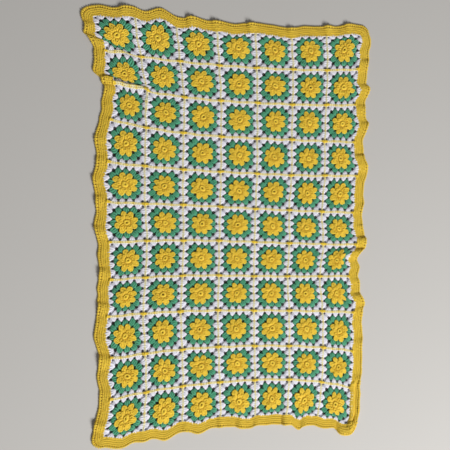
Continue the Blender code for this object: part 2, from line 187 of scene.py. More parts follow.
def underside(s, t):
    x, y = layout(s, t)
    z = np.zeros_like(x)
    outsides = {"left": (t, -s - halfWidth, -1, 0), "right": (t, s - halfWidth, 1, 0),
                "top": (s, t - halfLength, 0, 1), "bottom": (s, -t - halfLength, 0, -1)}
    for side, (along, outside, outX, outY) in outsides.items():
        for place, out, half in waves[side]:
            swing = out * swell(along - place, half) * (1 - softStep(-outside / cloth["waveReach"]))
            x, y = x + outX * swing, y + outY * swing
    for s0, t0, s1, t1, half, high0, high1, lean in allCreases:
        length = math.hypot(s1 - s0, t1 - t0)
        runS, runT = (s1 - s0) / length, (t1 - t0) / length
        along = (s - s0) * runS + (t - t0) * runT
        aside = (s - s0) * runT - (t - t0) * runS
        pastEnd = np.maximum(0, np.maximum(-along, along - length))
        weight = swell(aside, half) * swell(pastEnd, half)
        high = high0 + (high1 - high0) * np.clip(along / length, 0, 1)
        leaned = lean * weight * high / max(high0, high1)
        x, y, z = x + leaned * runT, y - leaned * runS, z + high * weight
    for humpS, humpT, radius, high in humps:
        z = z + high * swell(np.hypot(s - humpS, t - humpT), radius)
    wave = 2 * math.pi / cloth["lumpLength"]
    lump = np.sin(s * wave + 1.3 * np.sin(t * wave * 0.6))
    lump = lump * np.sin(t * wave * 0.9 + 1.1 * np.sin(s * wave * 0.5 + 2))
    z = z + cloth["lumpHigh"] * softStep(0.5 + 0.5 * lump)
    return np.stack([x, y, z], axis=1)


def layOnFolds(points):
    s, t, high = points.T
    stray, fine = cloth["wobble"], cloth["fineWobble"] * cloth["wobble"]
    s = s + stray * np.sin(t * 0.083 + 2.1 * np.sin(s * 0.031)) + fine * np.sin(s * 0.27 + t * 0.19)
    t = t + stray * np.sin(s * 0.079 + 1.7 * np.sin(t * 0.027 + 1)) + fine * np.sin(t * 0.31 - s * 0.17)
    step = cloth["slopeStep"]
    across = underside(s + step, t) - underside(s - step, t)
    along = underside(s, t + step) - underside(s, t - step)
    normal = np.cross(across, along)
    normal /= np.linalg.norm(normal, axis=1)[:, None]
    return (underside(s, t) + normal * high[:, None]) / 1000


def readPoints(piece):
    flat = np.zeros(len(piece.data.vertices) * 3)
    piece.data.vertices.foreach_get("co", flat)
    return flat.reshape(-1, 3)


def mark(piece, name, values):
    layer = piece.data.attributes.new(name, "FLOAT", "POINT")
    layer.data.foreach_set("value", values.astype(np.float32))


def layPiece(piece, points):
    mark(piece, "rise", points[:, 2] / 10)      # height in centimetres, read by the materials to paint shade on low-lying yarn
    piece.data.vertices.foreach_set("co", layOnFolds(points).ravel())
    piece.data.update()
    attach(piece, "root")


def deselectAll():
    if bpy.context.object and bpy.context.object.mode == "EDIT":
        bpy.ops.object.mode_set(mode="OBJECT")
    bpy.ops.object.select_all(action="DESELECT")


def pick(piece):
    deselectAll()
    piece.select_set(True)
    bpy.context.view_layer.objects.active = piece


# one stitch of yarn: a short strand, as a mesh to copy along a path
def makeStitch(name, sides, levels, endRound, turn):
    deselectAll()
    bpy.ops.mesh.primitive_cylinder_add(vertices=sides, radius=1, depth=1, end_fill_type="TRIFAN",
                                        location=(0, 0, 0.5))
    stitch = bpy.context.object
    stitch.name = name
    bpy.ops.object.transform_apply(location=True)
    bpy.ops.object.mode_set(mode="EDIT")
    for level in levels:
        bpy.ops.mesh.select_all(action="SELECT")
        bpy.ops.mesh.bisect(plane_co=(0, 0, level), plane_no=(0, 0, 1))
    bpy.ops.mesh.select_all(action="DESELECT")
    bpy.ops.object.mode_set(mode="OBJECT")
    for vert in stitch.data.vertices:
        z = vert.co.z
        size = endRound if min(z, 1 - z) < 0.01 else 1
        angle = math.atan2(vert.co.y, vert.co.x) + turn * z
        radius = math.hypot(vert.co.x, vert.co.y)
        if radius < 0.01:
            vert.co.z += -0.04 if z < 0.5 else 0.04         # the rounded end's pole
        else:
            vert.co.x, vert.co.y = size * math.cos(angle), size * math.sin(angle)
    verts = np.array([vert.co for vert in stitch.data.vertices])
    faces = [tuple(face.vertices) for face in stitch.data.polygons]
    around = []
    for face in faces:
        rim = [i for i in face if math.hypot(*verts[i][:2]) > 0.01]
        turns = [math.atan2(verts[i][1], verts[i][0]) / (2 * math.pi) for i in rim]
        near = [turn0 - round(turn0 - turns[0]) for turn0 in turns]
        middle = sum(near) / len(near)
        for i in face:
            angle = math.atan2(verts[i][1], verts[i][0]) / (2 * math.pi)
            onPole = math.hypot(*verts[i][:2]) < 0.01
            around.append((middle if onPole else angle - round(angle - turns[0]), verts[i][2]))
    bpy.data.objects.remove(stitch)
    return {"verts": verts, "faces": faces, "uv": np.array(around)}


def through(starts, middles, ends, samples=9):
    u = np.linspace(0, 1, samples)[None, :, None]
    starts, middles, ends = (np.asarray(a, float)[:, None, :] for a in (starts, middles, ends))
    control = 2 * middles - (starts + ends) / 2
    return (1 - u) ** 2 * starts + 2 * u * (1 - u) * control + u**2 * ends


def sweep(name, stitch, groups):
    allVerts, allFaces, allUvs, offset = [], [], [], 0
    for paths, sizes in groups:      # strands x samples x 3, and strands x samples x (width, height)
        count, samples = paths.shape[:2]
        places = np.clip(stitch["verts"][:, 2], 0, 1) * (samples - 1)
        low = np.minimum(places.astype(int), samples - 2)
        part = (places - low)[None, :, None]
        past = (stitch["verts"][:, 2] - np.clip(stitch["verts"][:, 2], 0, 1))[None, :, None]
        tangents = np.gradient(paths, axis=1)
        tangents /= np.linalg.norm(tangents, axis=2)[:, :, None] + 1e-9
        middle = paths[:, low] * (1 - part) + paths[:, low + 1] * part
        run = tangents[:, low] * (1 - part) + tangents[:, low + 1] * part
        run /= np.linalg.norm(run, axis=2)[:, :, None] + 1e-9
        size = sizes[:, low] * (1 - part) + sizes[:, low + 1] * part
        side = np.stack([run[..., 1], -run[..., 0], np.zeros_like(run[..., 0])], axis=-1)
        side /= np.linalg.norm(side, axis=2)[:, :, None] + 1e-9
        rise = np.cross(side, run)
        lengths = np.linalg.norm(np.diff(paths, axis=1), axis=2).sum(axis=1)
        x, y = stitch["verts"][:, 0][None, :, None], stitch["verts"][:, 1][None, :, None]
        verts = middle + side * x * size[..., :1] / 2 + rise * y * size[..., 1:] / 2
        verts += run * past * lengths[:, None, None]
        allVerts.append(verts.reshape(-1, 3))
        for k in range(count):
            allFaces.extend([tuple(i + offset for i in face) for face in stitch["faces"]])
            offset += verts.shape[1]
        uv = np.repeat(stitch["uv"][None], count, axis=0)
        uv[..., 1] *= lengths[:, None]
        allUvs.append(uv.reshape(-1, 2))
    mesh = bpy.data.meshes.new(name)
    mesh.from_pydata(np.concatenate(allVerts).tolist(), [], allFaces)
    layer = mesh.uv_layers.new(name="yarnUv")
    layer.data.foreach_set("uv", np.concatenate(allUvs).astype(np.float32).ravel())
    mesh.shade_smooth()
    piece = bpy.data.objects.new(name, mesh)
    bpy.context.scene.collection.objects.link(piece)
    return piece


def sized(count, widths, highs, samples=9):
    u = np.linspace(0, 1, len(widths))
    at = np.linspace(0, 1, samples)
    rows = np.stack([np.interp(at, u, widths), np.interp(at, u, highs)], axis=1)
    return np.repeat(rows[None], count, axis=0)


def joinPieces(name, pieces):
    deselectAll()
    for piece in pieces:
        piece.select_set(True)
    bpy.context.view_layer.objects.active = pieces[0]
    bpy.ops.object.join()
    joined = bpy.context.object
    joined.name = joined.data.name = name
    return joined


def turned(points, angle):
    c, s = math.cos(angle), math.sin(angle)
    x, y, z = np.moveaxis(np.asarray(points, float), -1, 0)
    return np.stack([x * c - y * s, x * s + y * c, z], axis=-1)


def swapped(points):  # mirrored across the square's diagonal
    points = np.asarray(points, float)
    return points[..., [1, 0, 2]]


postStitch = makeStitch("postStitch", 5, (0.3, 0.7), 0.66, 1.2)
rimStitch = makeStitch("rimStitch", 6, (0.14, 0.28, 0.42, 0.58, 0.72, 0.86), 0.7, 2.0)
smallStitch = makeStitch("smallStitch", 5, (0.5,), 0.6, 0.8)
print("stitches made")

# the flower in the middle of a square: a ring on a cushion of posts, a scalloped layer, and the petals.
# Points of a petal are across it, out from the middle, and up.
flower = {
    "petals": 8,
    "ring": {"radius": 5.6, "tube": 3.3, "high": 6.9, "squeeze": 0.9,
             "segments": 20, "sides": 6, "lumps": 10, "swing": 0.35},
    "cushion": {"radius": 12.6, "tube": 12.2, "high": 4.2, "squeeze": 0.18,
                "segments": 32, "sides": 5, "lumps": 16, "swing": 0.4},
    "lumpGrow": 0.04,
    "petalRim": [(-5.0, 14.5, 4.8), (-6.4, 20.0, 5.6), (-6.5, 26.0, 5.6), (-4.4, 30.6, 5.0),
                 (0, 32.3, 4.8)],
    "petalWide": (4.2, 5.0, 5.2, 5.0, 4.2),
    "petalFill": [(1.5, 13.0, 5.4), (1.9, 21.5, 6.0), (1.5, 30.0, 4.8)],
    "fillWide": (4.0, 5.0, 4.4),
    "fillThick": (4.2, 4.4, 4.0),
    "archRim": [(-1.8, 9.6, 6.8), (-3.3, 13.0, 8.0), (-4.0, 16.4, 8.1), (-2.4, 19.0, 7.8),
                (0, 19.8, 7.6)],
    "archWide": (3.0, 3.4, 3.7, 3.4, 3.0),
    "archFill": [(0, 9.5, 5.4), (0, 13.5, 5.9), (0, 17.5, 5.4)],
    "archFillWide": (4.4, 5.6, 4.6),
    "archFillThick": (3.6, 4.0, 3.6),
    "archReach": (0.4, -1.2, 1.2, -0.5, -1.5, 0.9, -0.8, 0.8),      # how much longer each arch is
    "reachFrom": 15,                                                # and how far out that begins
    "archTurn": (0.05, -0.08, 0.0, 0.10, -0.04, 0.07, -0.10, 0.02),
}


def makeLoop(loop):
    deselectAll()
    bpy.ops.mesh.primitive_torus_add(major_segments=loop["segments"], minor_segments=loop["sides"],
                                     major_radius=loop["radius"], minor_radius=loop["tube"])
    piece = bpy.context.object
    for vert in piece.data.vertices:         # the posts it is made of leave it lumpy
        lump = math.cos(loop["lumps"] * math.atan2(vert.co.y, vert.co.x))
        grow = 1 + flower["lumpGrow"] * lump
        vert.co.x, vert.co.y = vert.co.x * grow, vert.co.y * grow
        vert.co.z = vert.co.z * loop["squeeze"] + loop["high"] + loop["swing"] * lump
    layer = piece.data.uv_layers[0]
    layer.name = "yarnUv"
    flat = np.zeros(len(layer.data) * 2, np.float32)
    layer.data.foreach_get("uv", flat)
    flat = flat.reshape(-1, 2)[:, ::-1] * (1, 2 * math.pi * loop["radius"])
    layer.data.foreach_set("uv", flat.astype(np.float32).ravel())
    bpy.ops.object.shade_smooth()
    return piece


def horseshoe(half, samples=15):
    points = np.array(half + [(-q, r, z) for q, r, z in half[-2::-1]])
    u = np.linspace(0, 1, samples)
    at = np.linspace(0, 1, len(points))
    path = np.stack([np.interp(u, at, points[:, i]) for i in range(3)], axis=1)
    path[1:-1] = (path[:-2] + 2 * path[1:-1] + path[2:]) / 4
    return path


def lengthened(points, longer):
    return [(q, r + longer * (r > flower["reachFrom"]), z) for q, r, z in points]


def makeFlower():
    step = 2 * math.pi / flower["petals"]
    petalFill = np.array(flower["petalFill"])
    rims, arches, fills, bumps = [], [], [], []
    for k in range(flower["petals"]):
        turn = (k + 0.5) * step
        rims.append(turned(horseshoe(flower["petalRim"]), turn))
        for side in (-1, 1):
            fills.append(turned(petalFill * (side, 1, 1), turn))
        turn, longer = (k + flower["archTurn"][k]) * step, flower["archReach"][k]
        arches.append(turned(horseshoe(lengthened(flower["archRim"], longer)), turn))
        bumps.append(turned(lengthened(flower["archFill"], longer), turn))
    fills, bumps = np.array(fills), np.array(bumps)
    fillSizes = sized(len(fills), flower["fillWide"], flower["fillThick"])
    bumpSizes = sized(len(bumps), flower["archFillWide"], flower["archFillThick"])
    yarn = sweep("flowerYarnwork", rimStitch, [
        (np.array(rims), sized(len(rims), flower["petalWide"], flower["petalWide"], 15)),
        (np.array(arches), sized(len(arches), flower["archWide"], flower["archWide"], 15)),
    ])
    posts = sweep("flowerPosts", postStitch, [
        (through(*np.moveaxis(fills, 1, 0)), fillSizes),
        (through(*np.moveaxis(bumps, 1, 0)), bumpSizes),
    ])
    loops = [makeLoop(flower["cushion"]), makeLoop(flower["ring"])]
    return joinPieces("flowerMotif", [*loops, yarn, posts])


# the green round: one cluster of three posts at each side, and two clusters at each corner
green = {
    "side": [(0, 26.5, 2.8), (0, 34.4, 3.6), (0, 41.8, 2.9)],
    "corner": [(13.4, 25.0, 2.8), (22.0, 34.0, 3.6), (24.4, 41.4, 2.9)],
    "spread": (3.2, 6.2, 1.6),
    "widths": (4.6, 6.8, 4.2),
    "highs": (3.8, 4.8, 3.8),
    "middleRise": 0.35,
}
# the white round: fans that meet along the seam, with a chain over each corner
white = {
    "side": [(11.0, 38.8, 2.7), (11.0, 48.0, 3.3), (11.2, 60.0, 1.6)],
    "corner": [(31.4, 39.4, 2.7), (33.0, 48.0, 3.3), (33.8, 60.0, 1.6)],
    "spread": (0.5, 5.4, 8.6),
    "widths": (3.6, 6.4, 8.4),
    "highs": (3.2, 4.4, 4.0),
    "middleRise": 0.35,
    "chain": [(44.0, 52.6, 2.5), (51.6, 51.6, 2.6), (52.6, 44.0, 2.5)],
    "chainWide": (3.4, 3.8, 3.4),
    "chainThick": (3.4, 3.6, 3.4),
}


def clusterPosts(middles, settings):
    middles = np.array(middles, float)
    axis = middles[2, :2] - middles[0, :2]
    axis /= np.hypot(*axis)
    spread = np.array([axis[1], -axis[0]]) * np.array(settings["spread"])[:, None]
    posts = []
    for j in (-1, 0, 1):
        post = middles.copy()
        post[:, :2] += spread * j
        if j == 0:
            post[1, 2] += settings["middleRise"]
        posts.append(post)
    return posts


def makeRound(name, settings, mirrorSides):
    posts = []
    for k in range(4):
        turn = k * math.pi / 2
        sides = [clusterPosts(settings["side"], settings)]
        if mirrorSides:
            sides.append([post * (-1, 1, 1) for post in sides[0]])
        corner = clusterPosts(settings["corner"], settings)
        for cluster in (*sides, corner, [swapped(post) for post in corner]):
            posts.extend(turned(post, turn) for post in cluster)
    posts = np.array(posts)
    sizes = sized(len(posts), settings["widths"], settings["highs"])
    groups = [(through(*np.moveaxis(posts, 1, 0)), sizes)]
    if "chain" in settings:
        chains = np.array([turned(settings["chain"], k * math.pi / 2) for k in range(4)])
        sizes = sized(len(chains), settings["chainWide"], settings["chainThick"])
        groups.append((through(*np.moveaxis(chains, 1, 0)), sizes))
    return sweep(name, postStitch, groups)


# squares set out in columns and rows, each a little different
handWork = {
    "turn": 6,
    "grow": 0.035,
    "shift": 1.0,
    "tilt": 0.08,           # how much higher one side of a flower stands
    "flowerReach": 33,
    "eye": 0.35,            # how far a flower's middle is drawn in
    "eyeReach": 9.0,
    "lumps": 0.8,           # how far yarn strays, how often, and how differently from square to square
    "lumpRates": (0.33, 0.36),
    "lumpShift": 9,
}
squareDraw = np.random.default_rng(11).uniform(-1, 1, (cloth["columns"], cloth["rows"], 8))


def setOut(motif, name, firstRow, rowCount, varied):
    pick(motif)
    bpy.ops.object.duplicate()
    piece = bpy.context.object
    piece.name = piece.data.name = name
    square = cloth["square"]
    for count, offset in ((cloth["columns"], (square, 0, 0)), (rowCount, (0, -square, 0))):
        bpy.ops.object.modifier_add(type="ARRAY")
        repeat = piece.modifiers[-1]
        repeat.count = count
        repeat.use_relative_offset = False
        repeat.use_constant_offset = True
        repeat.constant_offset_displace = offset
        bpy.ops.object.modifier_apply(modifier=repeat.name)
    points = readPoints(piece)
    points[:, 0] += square / 2 - halfWidth
    points[:, 1] += halfLength - (firstRow + 0.5) * square
    column = np.clip((points[:, 0] + halfWidth) // square, 0, cloth["columns"] - 1).astype(int)
    row = np.clip((halfLength - points[:, 1]) // square, 0, cloth["rows"] - 1).astype(int)
    middle = np.stack([(column + 0.5) * square - halfWidth, halfLength - (row + 0.5) * square], axis=1)
    draw = squareDraw[column, row]
    away = points[:, :2] - middle
    if varied:
        angle = np.radians(handWork["turn"]) * draw[:, 0] + math.pi / 4 * np.round(draw[:, 7] * 4)
        grow = 1 + handWork["grow"] * draw[:, 1]
        c, s = np.cos(angle) * grow, np.sin(angle) * grow
        away = np.stack([away[:, 0] * c - away[:, 1] * s, away[:, 0] * s + away[:, 1] * c], axis=1)
        drawnIn = handWork["eye"] * (1 + draw[:, 6]) * swell(np.hypot(*away.T), handWork["eyeReach"])
        away *= 1 - drawnIn[:, None]
        lean = (away[:, 0] * draw[:, 4] + away[:, 1] * draw[:, 5]) / handWork["flowerReach"]
        points[:, 2] *= 1 + handWork["tilt"] * lean
        away += handWork["shift"] * draw[:, 2:4]
    phase = away * handWork["lumpRates"] + draw[:, 6:8] * handWork["lumpShift"]
    away = away + handWork["lumps"] * np.stack([np.sin(phase[:, 1]), np.cos(phase[:, 0])], axis=1)
    points[:, :2] = middle + away
    layPiece(piece, points)
    return piece


motifs = {
    "yellowFlowers": (makeFlower(), True),
    "greenRounds": (makeRound("greenMotif", green, False), False),
    "whiteRounds": (makeRound("whiteMotif", white, True), False),
}
yarnPieces = {}
for motifName, (motif, varied) in motifs.items():
    for part, firstRow, rowCount in (("Upper", 0, 6), ("Lower", 6, 5)):
        yarnPieces[motifName + part] = setOut(motif, motifName + part, firstRow, rowCount, varied)
    bpy.data.objects.remove(motif)
print("squares set out")

# the seams between the squares, and the knots where they cross
seam = {
    "pitch": 7.2,
    "long": 9.4,
    "slant": 0.6,
    "startLow": 0.5,
    "endHigh": 0.1,
    "row": {"apart": 1.9, "high": 4.6, "wide": 4.0},
    "column": {"apart": 1.6, "high": 4.1, "wide": 3.4},
    "endWide": 0.8,
    "thick": (2.8, 3.2, 2.8),
    "stretchAt": (-54, -22, 0, 22, 54),     # from a square's middle, where no fan presses on the seam
    "stretchReach": 8,
}


def seamStrands(start, end, kind):
    start, end = np.array(start, float), np.array(end, float)
    length = np.hypot(*(end - start))
    run = (end - start) / length
    across = np.array([run[1], -run[0]])
    count = round(length / seam["pitch"])
    at = (np.arange(count) + 0.5) * length / count
    reach, high = seam["long"] / 2, kind["high"]
    strands = []
    for side in (-1, 1):
        middle = start + run * at[:, None] + across * side * kind["apart"]
        first = middle - run * reach + across * side * seam["slant"]
        last = middle + run * reach - across * side * seam["slant"]
        strands.append(np.stack([
            np.column_stack([first, np.full(count, high - seam["startLow"])]),
            np.column_stack([middle, np.full(count, high)]),
            np.column_stack([last, np.full(count, high + seam["endHigh"])]),
        ], axis=1))
    return np.concatenate(strands)


def sewSeams(name, strands, kind, axis):
    strands = np.concatenate(strands)
    wide, narrow = kind["wide"], kind["wide"] * seam["endWide"]
    sizes = sized(len(strands), (narrow, wide, narrow), seam["thick"], 5)
    piece = sweep(name, smallStitch, [(through(*np.moveaxis(strands, 1, 0), samples=5), sizes)])
    points = readPoints(piece)
    along = (points[:, axis] + (halfWidth, halfLength)[axis]) % cloth["square"] - cloth["square"] / 2
    near = [swell(along - place, seam["stretchReach"]) for place in seam["stretchAt"]]
    mark(piece, "stretch", np.max(near, axis=0))
    layPiece(piece, points)
    yarnPieces[name] = piece


rowStrands, columnStrands = [], []
for row in range(1, cloth["rows"]):
    t = halfLength - row * cloth["square"]
    rowStrands.append(seamStrands((-halfWidth, t), (halfWidth, t), seam["row"]))
for column in range(1, cloth["columns"]):
    s = column * cloth["square"] - halfWidth
    columnStrands.append(seamStrands((s, -halfLength), (s, halfLength), seam["column"]))
sewSeams("rowSeamYarn", rowStrands, seam["row"], 0)
sewSeams("columnSeamYarn", columnStrands, seam["column"], 1)

knot = {
    "reach": 12.5,          # of the two strands that lie along the row seam
    "spread": 1.2,
    "swell": 2.0,
    "high": 5.4,
    "endHigh": 3.9,
    "wrap": (0.8, 5.4),     # of the strand across them: slant and reach
    "wrapHigh": 6.5,
    "wrapEndHigh": 4.2,
    "wide": (4.4, 5.2, 4.4),
    "thick": (3.4, 4.2, 3.2),
}
knotStrands = []
for row in range(1, cloth["rows"]):
    for column in range(0, cloth["columns"] + 1):
        s, t = column * cloth["square"] - halfWidth, halfLength - row * cloth["square"]
        left, right = max(-halfWidth - 1, s - knot["reach"]), min(halfWidth + 1, s + knot["reach"])
        for side in (-1, 1):
            endT, middleT = t + side * knot["spread"], t + side * knot["swell"]
            knotStrands.append([(left, endT, knot["endHigh"]), (s, middleT, knot["high"]),
                                (right, endT, knot["endHigh"])])
        aside, reach = knot["wrap"]
        knotStrands.append([(s - aside, t - reach, knot["wrapEndHigh"]), (s, t, knot["wrapHigh"]),
                            (s + aside, t + reach, knot["wrapEndHigh"])])
knotStrands = np.array(knotStrands)
sizes = sized(len(knotStrands), knot["wide"], knot["thick"])
piece = sweep("knotYarn", postStitch, [(through(*np.moveaxis(knotStrands, 1, 0)), sizes)])
layPiece(piece, readPoints(piece))
yarnPieces["knotYarn"] = piece
print("seams sewn")

# the border: rounds of single crochet, each stitch a v of two strands
border = {
    "pitch": 6.2,
    "cornerSwell": 0.075,
    "vSpread": 1.65,
    "high": 2.8,
    "uneven": 0.15,
    "bow": (-0.1, 0.3, -0.2),   # how much higher a strand's foot, middle and top are than its round
    "aheads": (0.25, 0.75),     # how far along its pitch a stitch stands, in one round and in the next
    "wide": (3.5, 4.2, 3.8),
    "thick": (3.1, 3.4, 3.2),
    "rounds": [             # how far out, half a stitch's length, half the v at its foot and at its top
        (3.3, 4.3, 1.2, 1.8), (9.2, 4.3, 1.2, 1.8), (15.1, 4.3, 1.2, 1.8), (20.8, 3.9, 1.2, 1.8),
        (28.2, 3.8, 0.3, 0.8),
    ],
    "edge": 0.4,                # how far out the chain lies that the first round is worked into
    "edgeHigh": 0.4,            # how much higher it is, its stitches' slant, and half their length
    "edgeSlant": 0.3,
    "edgeReach": 0.6,
}


def roundPlaces(out, pitch, ahead):
    corner = max(1, round(out * math.pi / 2 / pitch))
    places = []  # s, t and the way out
    sides = (
        ((halfWidth, halfLength), (-1, 0), 2 * halfWidth, (0, 1)),
        ((-halfWidth, halfLength), (0, -1), 2 * halfLength, (-1, 0)),
        ((-halfWidth, -halfLength), (1, 0), 2 * halfWidth, (0, -1)),
        ((halfWidth, -halfLength), (0, 1), 2 * halfLength, (1, 0)),
    )
    for (s, t), (runS, runT), length, (outS, outT) in sides:
        for k in range(corner):
            quarter = (k + ahead) / corner * math.pi / 2
            turn = math.atan2(outT, outS) - math.pi / 2 + quarter
            reach = out * (1 + border["cornerSwell"] * math.sin(2 * quarter))
            wayS, wayT = math.cos(turn), math.sin(turn)
            places.append((s + reach * wayS, t + reach * wayT, wayS, wayT))
        count = round(length / pitch)
        for k in range(count):
            along = (k + ahead) / count * length
            places.append((s + runS * along + outS * out, t + runT * along + outT * out, outS, outT))
    return np.array(places)


roundPaths = []
draw = np.random.default_rng(5)
for number, (out, reach, foot, top) in enumerate(border["rounds"]):
    places = roundPlaces(out, border["pitch"], border["aheads"][number % 2])
    ways = places[:, 2:]
    asides = np.stack([-ways[:, 1], ways[:, 0]], axis=1)
    high = border["high"] + draw.normal(0, border["uneven"], len(places))
    for side in (-1, 1):
        inner = places[:, :2] - ways * reach + asides * side * foot
        middle = places[:, :2] + asides * side * border["vSpread"]
        outer = places[:, :2] + ways * reach + asides * side * top
        ends = [(place, high + bow) for place, bow in zip((inner, middle, outer), border["bow"])]
        roundPaths.append(np.stack([np.column_stack(end) for end in ends], axis=1))
places = roundPlaces(border["edge"], border["pitch"], 0.5)
asides = np.stack([-places[:, 3], places[:, 2]], axis=1) * border["pitch"] * border["edgeReach"]
high = np.full(len(places), border["high"] + border["edgeHigh"])
ends = [(places[:, :2] + asides * way, high + border["edgeSlant"] * way) for way in (-1, 0, 1)]
roundPaths.append(np.stack([np.column_stack(end) for end in ends], axis=1))
roundPaths = np.concatenate(roundPaths)
inUpperHalf = roundPaths[:, 1, 1] > 0
for name, chosen in (("borderYarnUpper", inUpperHalf), ("borderYarnLower", ~inUpperHalf)):
    paths = roundPaths[chosen]
    sizes = sized(len(paths), border["wide"], border["thick"], 5)
    piece = sweep(name, smallStitch, [(through(*np.moveaxis(paths, 1, 0), samples=5), sizes)])
    layPiece(piece, readPoints(piece))
    yarnPieces[name] = piece
print("border worked")

# the web of yarn behind the stitches, cut through where the rounds leave gaps; its colours are painted
# shade
web = {
    "cell": 9.0,
    "rim": 36.0,
    "high": 1.6,
    "thick": 0.9,
    "inset": 2.5,
    "gapHalf": 2.2,
    "gaps": [               # cells from a square's middle, and the gap's place in millimetres
        (0, 5, 0.0, 46.2), (2, 5, 21.9, 46.0), (4, 4, 34.6, 34.6), (5, 5, 46.8, 46.8),
        (0, 3, 0.0, 27.4), (2, 2, 20.4, 20.4),
    ],
    "slit": (46.8, 46.8, 1.4, 0.6),     # the corner gap's place, how much longer and how narrow it is
    "slitReach": 1.3,
    "holes": 25.2,                      # how far out the last round leaves small holes
}
deselectAll()
cells = [round(2 * (half + web["rim"]) / web["cell"]) for half in (halfWidth, halfLength)]
bpy.ops.mesh.primitive_grid_add(x_subdivisions=cells[0], y_subdivisions=cells[1], size=1)
backing = bpy.context.object
backing.name = backing.data.name = "clothBacking"
backing.scale = (2 * (halfWidth + web["rim"]), 2 * (halfLength + web["rim"]), 1)
bpy.ops.object.transform_apply(scale=True)


def fromSquares(points):  # the middle of the square a point is in, and the way from there
    number = np.floor((points[:, :2] + (halfWidth, halfLength)) / cloth["square"])
    middle = (number + 0.5) * cloth["square"] - (halfWidth, halfLength)
    return middle, points[:, :2] - middle


points = readPoints(backing)
middle, away = fromSquares(points)
onPanel = (np.abs(points[:, 0]) < halfWidth) & (np.abs(points[:, 1]) < halfLength)
atGap = np.zeros(len(points), bool)
for cellA, cellB, placeA, placeB in web["gaps"]:
    for cell, place in (((cellA, cellB), (placeA, placeB)), ((cellB, cellA), (placeB, placeA))):
        near = onPanel & (np.abs(np.abs(away) - np.array(cell) * web["cell"]).max(axis=1) < 0.5)
        points[near, :2] = (middle + np.sign(away) * place)[near]
        atGap |= near
backing.data.vertices.foreach_set("co", points.ravel())
backing.data.vertices.foreach_set("select", atGap)
backing.data.edges.foreach_set("select", np.zeros(len(backing.data.edges), bool))
backing.data.polygons.foreach_set("select", np.zeros(len(backing.data.polygons), bool))
bpy.ops.object.mode_set(mode="EDIT")
bpy.ops.mesh.select_mode(type="VERT")
bpy.ops.mesh.bevel(offset=web["gapHalf"], segments=2, affect="VERTICES")
bpy.ops.mesh.delete(type="FACE")
bpy.ops.object.mode_set(mode="OBJECT")
points = readPoints(backing)
middle, away = fromSquares(points)
placeA, placeB, longer, narrower = web["slit"]
slit = np.abs(away) - (placeA, placeB)
atSlit = np.hypot(*slit.T) < web["gapHalf"] * web["slitReach"]
along, aside = slit.sum(axis=1) / 2 * longer, (slit[:, 0] - slit[:, 1]) / 2 * narrower
slit = np.stack([placeA + along + aside, placeB + along - aside], axis=1)
points[atSlit, :2] = (middle + np.sign(away) * slit)[atSlit]
backing.data.vertices.foreach_set("co", points.ravel())
bpy.ops.object.modifier_add(type="SOLIDIFY")
backing.modifiers[-1].thickness = web["thick"]
backing.modifiers[-1].offset = 0
bpy.ops.object.modifier_apply(modifier=backing.modifiers[-1].name)
points = readPoints(backing)
points[:, 2] += web["high"]
outS = np.maximum(0, np.abs(points[:, 0]) - halfWidth) / web["rim"]
outT = np.maximum(0, np.abs(points[:, 1]) - halfLength) / web["rim"]
reach = cloth["border"] - web["inset"]
drawnS = halfWidth + reach * outS * np.sqrt(1 - cloth["cornerRound"] * outT**2)
drawnT = halfLength + reach * outT * np.sqrt(1 - cloth["cornerRound"] * outS**2)
points[:, 0] = np.where(outS > 0, np.sign(points[:, 0]) * drawnS, points[:, 0])
points[:, 1] = np.where(outT > 0, np.sign(points[:, 1]) * drawnT, points[:, 1])
layer = backing.data.uv_layers[0]
layer.name = "clothUv"
corners = np.zeros(len(backing.data.loops), np.int32)
backing.data.loops.foreach_get("vertex_index", corners)
squares = (points[:, :2] + (halfWidth, halfLength)) / cloth["square"]
layer.data.foreach_set("uv", squares[corners].astype(np.float32).ravel())
backing.data.shade_smooth()
layPiece(backing, points)
print("backing cut")


def colour(*levels):  # a screen's red, green and blue as linear light
    parts = [level / 255 for level in levels]
    return (*(part / 12.92 if part < 0.04 else ((part + 0.055) / 1.055) ** 2.4 for part in parts), 1.0)


def addNode(tree, kind, **values):
    node = tree.nodes.new(kind)
    for name, value in values.items():
        if name in node.inputs.keys():
            node.inputs[name].default_value = value
        else:
            setattr(node, name, value)
    return node


def addMath(tree, operation, first, second=None, third=None):
    node = addNode(tree, "ShaderNodeMath", operation=operation)
    for socket, value in zip(node.inputs, (first, second, third)):
        if value is None:
            continue
        if isinstance(value, (int, float)):
            socket.default_value = value
        else:
            tree.links.new(value, socket)
    return node.outputs[0]


def addMix(tree, blend, factor, first, second):
    node = addNode(tree, "ShaderNodeMix", data_type="RGBA", blend_type=blend)
    for socket, value in ((node.inputs[0], factor), (node.inputs[6], first), (node.inputs[7], second)):
        if isinstance(value, (int, float, tuple)):
            socket.default_value = value
        else:
            tree.links.new(value, socket)
    return node.outputs[2]


def addStep(tree, value, start, end):  # from 0 at the start to 1 at the end
    node = addNode(tree, "ShaderNodeMapRange", interpolation_type="SMOOTHSTEP")
    tree.links.new(value, node.inputs["Value"])
    node.inputs["From Min"].default_value = start
    node.inputs["From Max"].default_value = end
    return node.outputs[0]


twistSockets = {"Plies": 3.0, "Twist Length": 11.0, "Fuzz Scale": 900.0}
twistLook = {"fuzzHigh": 0.45, "patchScale": 26.0}


